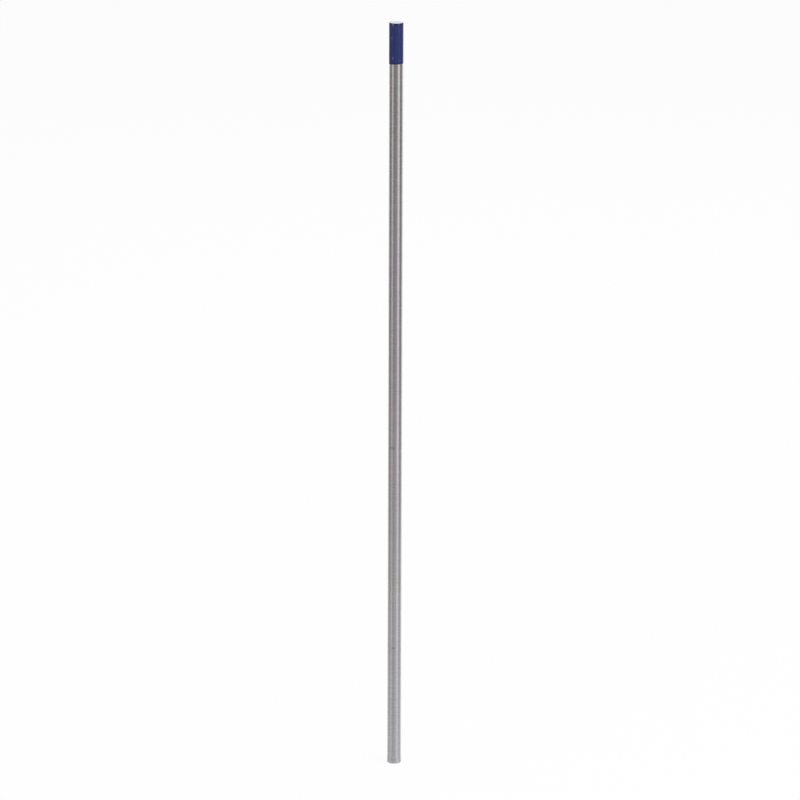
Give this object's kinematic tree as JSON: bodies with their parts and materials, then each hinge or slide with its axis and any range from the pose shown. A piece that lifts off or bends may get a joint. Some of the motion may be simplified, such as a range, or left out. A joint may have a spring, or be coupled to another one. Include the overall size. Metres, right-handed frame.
{
  "type": "tig tungsten electrode",
  "caption": "Slim ground tungsten rod for TIG welding, square cut at both ends, with a blue painted band at one end.",
  "frame": {"origin": "centre of the bare working end's flat face, on the rod's axis", "axes": "+Z along the rod's axis, from the working end to the painted end; +X to the right in the picture, +Y away from the camera"},
  "size_m": [0.0032, 0.0032, 0.175],
  "materials": {
    "ground_tungsten": "ground",
    "blue_paint": "semi-gloss"
  },
  "bodies": {
    "root": {"tungsten_rod": "ground_tungsten", "colour_band": "blue_paint"}
  },
  "joints": []
}
